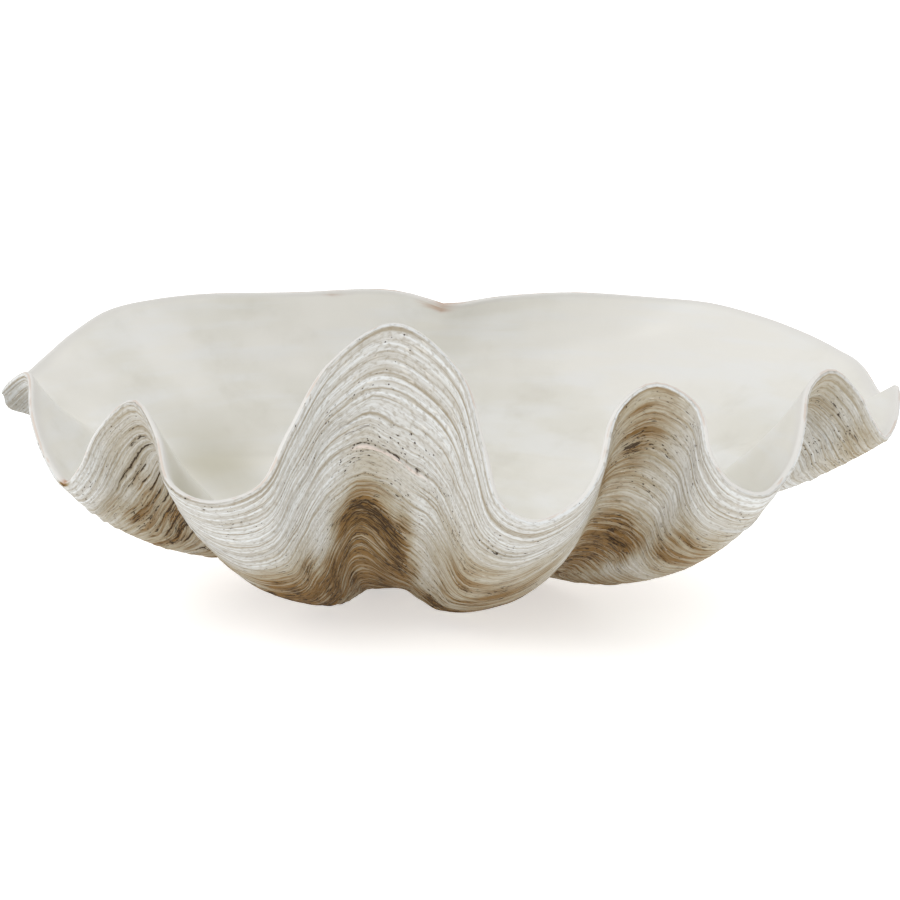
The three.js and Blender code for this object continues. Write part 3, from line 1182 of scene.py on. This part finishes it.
@dataclass(frozen=True)
class WeatheredChalk(Finish):
    """Aragonite worn chalky by sea and weather: pale crests, beige furrows, brown silt, dark pits, and
    painted shade on the left tip.
    """

    name: str = "shell_aragonite_weathered"
    crest: str = "#D7D9D8"
    coats: tuple[Coat, ...] = (
        Coat("#C1BFB9", "furrow", 0.68, 1.00),  # layers between the crests; on the left tip, painted shade
        Coat("#978C77", "furrow", 0.95, 1.24, 0.85),  # dusty furrows
        Coat("#CAC8C1", "bare", 0.2, 0.8, 0.7),  # smooth band under the ledge
        Coat("#8A8C89", "grey", 0.05, 1.0, 0.60),  # grey weathering, and painted shade under the left tip
        Coat("#A2967C", "tinted", 0.03, 0.62, 0.90),  # beige film
        Coat("#7A5A2D", "soiled", 0.38, 0.98, 0.93),  # brown silt
        Coat("#5A4220", "soiled", 1.15, 1.65, 0.55),  # deep silt
        Coat("#3F2D18", "seamed", 0.042, 0.066, 0.70),  # thin dark seams, most of them in the silt
        Coat("#E0DBD0", "chipped", 0.60, 0.72, 0.45),  # fresh chips
        Coat("#E6D6CC", "ledge", 0.08, 0.60, 0.75),  # broken edge of the ledge
        Coat("#85775E", "grit", 0.47, 0.70, 0.42),  # grit
        Coat("#3B2E22", "bored", 0.0, 1.0, 0.88),  # pits and cracks
    )
    # The growth lines, grit, seams, cracks and pits of such a shell are mostly 0.2 to 1 mm across,
    # which is too fine to show, so they are drawn at 1.3 mm or more.
    grains: tuple[Grain, ...] = (
        Grain("lines", 70, 1.4, 4, 3.1),  # fine growth lines
        Grain("bands", 120, 5, 3, 7.7),  # bands of a layer's width
        Grain("streaks", 40, 2.6, 6, 12.3),  # streaks that wear leaves in the silt
        Grain("grit", 4.2, 1.6, 5, 41.0),  # sandy grain
        Grain("seams", 48, 4.2, 2.5, 29.0),  # long thin seams in the silt
        Grain("chips", 13, 2.0, 5, 55.0),  # flaked-off bits
        Grain("clusters", 60, 26, 2, 33.3),  # places where pits and cracks gather
        Grain("cracks", 9, 1.3, 2, 21.9),  # short cracks along the lines
        Grain("long_cracks", 30, 1.5, 3, 64.0),
    )
    pits: Grain = Grain("pits", 4.0, 2.6, 0, 8.8)
    furrow: Weights = (("groove", 0.26), ("lines", 1.0), ("bands", 0.6))
    wear: Weights = (("streaks", 1.5), ("furrow", 0.35))
    wear_silt: Reach = Reach(0.78, 1.32, 0.62, 1.38)  # share of the silt that the wear leaves
    seam_middle: float = 0.5  # noise along whose line a seam runs
    seamed: Weights = (("seams", -1.0), ("stain", 0.030), ("streaks", 0.08))
    tinted: Weights = (("stain", 0.75), ("soiled", 0.25))
    chipped: Weights = (("chips", 1.0), ("stain", -0.10))
    pit_room: Reach = Reach(0.34, 0.74, -0.30, -0.10)  # size of the pits, out of and in a cluster
    bores: tuple[Bore, ...] = (
        Bore((("cracks", 1.0), ("clusters", 0.34), ("stain", 0.20)), Reach(0.945, 0.985)),
        Bore((("long_cracks", 1.0), ("clusters", 0.34), ("stain", 0.18)), Reach(0.985, 1.035)),
        Bore(  # pits
            (("room", 1.0), ("own", 0.28), ("stain", 0.11), ("grit", 0.26), ("away", -1.0)),
            Reach(0.0, 0.07),
        ),
        Bore((("split", 1.0), ("grit", 1.2)), Reach(0.93, 1.15)),  # between the coarse ridges
    )
    roughness: float = 0.82
    ior: float = 1.53
    gloss: float = 0.15  # specular level of a chalky surface
    height: Weights = (("lines", -1.0), ("bored", -0.9), ("grit", 0.8), ("chips", 0.6), ("seams", 1.5))
    bump: float = 0.8
    bump_height: float = 1.3  # mm

    def _bored(self, tree: bpy.types.NodeTree, values: dict[str, Any]) -> bpy.types.NodeSocket:
        """Find where the surface is bored by pits and cracks, more where silt lies.

        Args:
            tree: Node tree of the material.
            values: The surface's values by name.

        Returns:
            Socket of the share of pits and cracks.
        """
        dots = add_node(tree, "ShaderNodeTexVoronoi", {"Vector": self.pits.place(tree), "Scale": 1.0})
        room = self.pit_room.inputs(values["clusters"])
        here = values | {
            "own": dots.outputs["Color"],
            "away": dots.outputs["Distance"],
            "room": add_node(tree, "ShaderNodeMapRange", room, interpolation_type="SMOOTHSTEP").outputs[0],
        }
        deepest: Any = 0.0
        for bore in self.bores:
            spread = bore.opening.inputs(weighed(tree, here, bore.weights))
            share = add_node(tree, "ShaderNodeMapRange", spread, interpolation_type="SMOOTHSTEP").outputs[0]
            deepest = add_node(tree, "ShaderNodeMath", {0: deepest, 1: share}, operation="MAXIMUM").outputs[0]
        return deepest

    def lay(self, tree: bpy.types.NodeTree, shader: bpy.types.Node) -> None:
        """Colour by crest and furrow, then silt, then pits; relief to match.

        Args:
            tree: Node tree of the material.
            shader: Shader that gets the finish.
        """
        values: dict[str, Any] = {grain.name: grain.noise(tree) for grain in self.grains}
        for name in ("groove", "stain", "ledge", "bare", "grey", "split"):
            values[name] = add_node(tree, "ShaderNodeAttribute", attribute_name=name).outputs["Fac"]
        values["furrow"] = weighed(tree, values, self.furrow)
        worn = self.wear_silt.inputs(weighed(tree, values, self.wear))
        patchy = add_node(tree, "ShaderNodeMapRange", worn, interpolation_type="SMOOTHSTEP").outputs[0]
        soil = {0: values["stain"], 1: patchy}
        values["soiled"] = add_node(tree, "ShaderNodeMath", soil, operation="MULTIPLY").outputs[0]
        middle = {0: values["seams"], 1: self.seam_middle}
        off = add_node(tree, "ShaderNodeMath", middle, operation="SUBTRACT").outputs[0]
        values["seams"] = add_node(tree, "ShaderNodeMath", {0: off}, operation="ABSOLUTE").outputs[0]
        values["bored"] = self._bored(tree, values)
        sums = (("seamed", self.seamed), ("tinted", self.tinted), ("chipped", self.chipped))
        for name, weights in sums:
            values[name] = weighed(tree, values, weights)
        self.paint(tree, shader, self.crest, self.coats, values)
        shader.inputs["Roughness"].default_value = self.roughness
        shader.inputs["IOR"].default_value = self.ior
        shader.inputs["Specular IOR Level"].default_value = self.gloss
        self.emboss(tree, shader, values)


@dataclass(frozen=True)
class PorcelainNacre(Finish):
    """Dense inner aragonite, polished like porcelain: ivory, softly mottled, with a satin gloss."""

    name: str = "shell_aragonite_porcelain"
    ivory: str = "#DDDBD4"
    coats: tuple[Coat, ...] = (
        Coat("#D5D3CA", "wide", 0.38, 0.62),  # cream
        Coat("#DCDDDC", "growth", 0.42, 0.68, 0.5),  # cool clouds
        Coat("#BFBBAE", "faint", 0.56, 0.80, 0.35),  # faint shade
        Coat("#ABA68F", "hollow", 0.05, 1.0, 0.75),  # painted shade in the hollows, olive grey
        Coat("#D5D3CE", "lip", 1.6, 0.9),  # worn edge
        Coat("#BFA591", "line", 0.0, 1.0, 0.42),  # flesh-coloured line
        Coat("#A87A54", "tanned", 0.0, 1.0),  # tan stains
    )
    mottle: float = 125.0  # mm, size of the wide clouds
    fleck: float = 29.0  # mm, size of the small ones
    level_bands: tuple[float, float, float] = (100.0, 100.0, 13.3)  # mm, flat bands of growth
    detail: float = 4.5  # levels of finer clouds
    streak: Grain = Grain("streak", 26, 8, 3, 17.0)
    faint: Weights = (("small", 0.6), ("wide", 0.5))
    reaches: tuple[tuple[str, str, Reach], ...] = (
        ("edge", "lip", Reach(0.75, 0.62)),  # outer two thirds of the rounded lip
        ("broken", "streak", Reach(0.47, 0.60)),  # breaks of the line along it
        ("uneven", "streak", Reach(0.30, 0.60, 0.5, 1.0)),  # strength of the tan stains
        ("satin", "wide", Reach(0.30, 0.70, 0.31, 0.46)),  # roughness, from satin to duller
        ("worn", "lip", Reach(1.6, 0.9, 0.0, 0.25)),  # roughness that the worn edge adds
    )
    rough: Weights = (("satin", 1.0), ("worn", 1.0))
    ior: float = 1.53
    height: Weights = (("growth", 1.0), ("small", 0.4))
    bump: float = 0.2
    bump_height: float = 1.2  # mm

    def lay(self, tree: bpy.types.NodeTree, shader: bpy.types.Node) -> None:
        """Mottled ivory with a pale lip, a thin flesh-coloured line along it and painted shade in the
        hollows.

        Args:
            tree: Node tree of the material.
            shader: Shader that gets the finish.
        """
        place = add_node(tree, "ShaderNodeTexCoord").outputs["Object"]
        flat = {"Vector": place, "Scale": [1 / (size * MILLIMETRE) for size in self.level_bands]}
        level = add_node(tree, "ShaderNodeMapping", flat).outputs[0]
        clouds = (
            ("wide", place, 1 / (self.mottle * MILLIMETRE)),
            ("small", place, 1 / (self.fleck * MILLIMETRE)),
            ("growth", level, 1.0),
        )
        values: dict[str, Any] = {"streak": self.streak.noise(tree)}
        for name, vector, scale in clouds:
            inputs = {"Vector": vector, "Scale": scale, "Detail": self.detail}
            values[name] = add_node(tree, "ShaderNodeTexNoise", inputs).outputs["Fac"]
        # on the inside the groove attribute carries painted shade, read here as the hollow value
        for name, attribute in (("lip", "lip"), ("hollow", "groove"), ("stain", "stain")):
            values[name] = add_node(tree, "ShaderNodeAttribute", attribute_name=attribute).outputs["Fac"]
        values["faint"] = weighed(tree, values, self.faint)
        for name, source, reach in self.reaches:
            spread = reach.inputs(values[source])
            share = add_node(tree, "ShaderNodeMapRange", spread, interpolation_type="SMOOTHSTEP")
            values[name] = share.outputs[0]
        for name, first, second in (("line", "edge", "broken"), ("tanned", "stain", "uneven")):
            both = {0: values[first], 1: values[second]}
            values[name] = add_node(tree, "ShaderNodeMath", both, operation="MULTIPLY").outputs[0]
        self.paint(tree, shader, self.ivory, self.coats, values)
        tree.links.new(weighed(tree, values, self.rough), shader.inputs["Roughness"])
        shader.inputs["IOR"].default_value = self.ior
        self.emboss(tree, shader, values)


@dataclass(frozen=True)
class MattWhiteFloor(Finish):
    """Matt white studio paper on a light table: even, without gloss, with a soft shadow."""

    name: str = "paper_matt_white"
    paper: str = "#F2F2F2"
    roughness: float = 0.95
    gloss: float = 0.1  # specular level of matt paper
    glow: float = 0.6  # light from under the paper, which softens the shadow

    def lay(self, tree: bpy.types.NodeTree, shader: bpy.types.Node) -> None:
        """One even colour; the roughness takes the gloss away.

        Args:
            tree: Node tree of the material.
            shader: Shader that gets the finish.
        """
        shader.inputs["Base Color"].default_value = linear_colour(self.paper)
        shader.inputs["Roughness"].default_value = self.roughness
        shader.inputs["Specular IOR Level"].default_value = self.gloss
        shader.inputs["Emission Color"].default_value = linear_colour(self.paper)
        shader.inputs["Emission Strength"].default_value = self.glow


class Lamp(Enum):
    """Soft lamps: name, direction towards the lamp, strength, apparent width in degrees, colour."""

    KEY = ("key_soft", (-0.85, -0.62, 1.0), 0.95, 40, "#FCFCFF")
    BACK = ("back_soft", (0.55, 0.75, 0.9), 0.68, 50, "#FDFCFB")


@dataclass
class Studio:
    """Pale floor, soft lamps and the camera."""

    floor_half_width: float = 60.0  # m
    room: str = "#FFFFFF"  # colour of the evenly lit room
    ambient: float = 0.79  # strength of its light
    lens: float = 85.0  # mm
    sensor: float = 36.0  # mm
    elevation: float = 13.5  # degrees that the camera stands above level
    aim: tuple[float, float, float] = (0.0044, -0.0163, 0.1808)  # point that it looks at, in shell lengths
    distance: float = 2.401  # in shell lengths

    def build(self) -> None:
        """Make the floor, the light and the camera."""
        low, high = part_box("shell")
        self._floor(low.z)
        self._light()
        self._camera(high.x - low.x)

    def _floor(self, height: float) -> None:
        """Lay the floor.

        Args:
            height: Height of the resting plane, m.
        """
        plane = bmesh.new()
        bmesh.ops.create_grid(plane, x_segments=1, y_segments=1, size=self.floor_half_width)
        bmesh.ops.translate(plane, verts=plane.verts, vec=(0, 0, height))
        mesh = bpy.data.meshes.new("studio_floor")
        plane.to_mesh(mesh)
        plane.free()
        mesh.materials.append(MattWhiteFloor().make())
        floor = bpy.data.objects.new("studio_floor", mesh)
        bpy.context.scene.collection.objects.link(floor)

    def _light(self) -> None:
        """Hang the lamps in an evenly white room."""
        world = bpy.data.worlds.new("white_room")
        bpy.context.scene.world = world
        world.use_nodes = True
        background = world.node_tree.nodes["Background"]
        background.inputs["Color"].default_value = linear_colour(self.room)
        background.inputs["Strength"].default_value = self.ambient
        for lamp in Lamp:
            name, direction, strength, width, colour = lamp.value
            data = bpy.data.lights.new(name, "SUN")
            data.energy = strength
            data.angle = math.radians(width)
            data.color = linear_colour(colour)[:3]
            holder = bpy.data.objects.new(name, data)
            holder.rotation_euler = Vector(direction).to_track_quat("Z", "Y").to_euler()
            bpy.context.scene.collection.objects.link(holder)

    def _camera(self, length: float) -> None:
        """Stand the camera in front of the shell, looking slightly down.

        Args:
            length: Length of the shell, m.
        """
        data = bpy.data.cameras.new("front_camera")
        data.lens = self.lens
        data.sensor_width = self.sensor
        camera = bpy.data.objects.new("front_camera", data)
        tilt = math.radians(self.elevation)
        back = Vector((0, -math.cos(tilt), math.sin(tilt)))
        camera.location = Vector(self.aim) * length + back * self.distance * length
        camera.rotation_euler = back.to_track_quat("Z", "Y").to_euler()
        bpy.context.scene.collection.objects.link(camera)
        bpy.context.scene.camera = camera
        bpy.context.scene.view_settings.view_transform = "Standard"


def main() -> None:
    """Build the valve and the studio."""
    logging.basicConfig(level=logging.INFO, format="%(name)s: %(message)s")
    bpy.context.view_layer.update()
    valve = ClamValve().build()
    for finish in (WeatheredChalk(), PorcelainNacre()):
        valve.data.materials.append(finish.make())
    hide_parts("shell")
    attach(valve, "root")
    LOG.info("clam_valve: %d faces", len(valve.data.polygons))
    Studio().build()
    LOG.info("studio: floor, %d lamps, camera", len(Lamp))


if __name__ == "__main__":
    main()
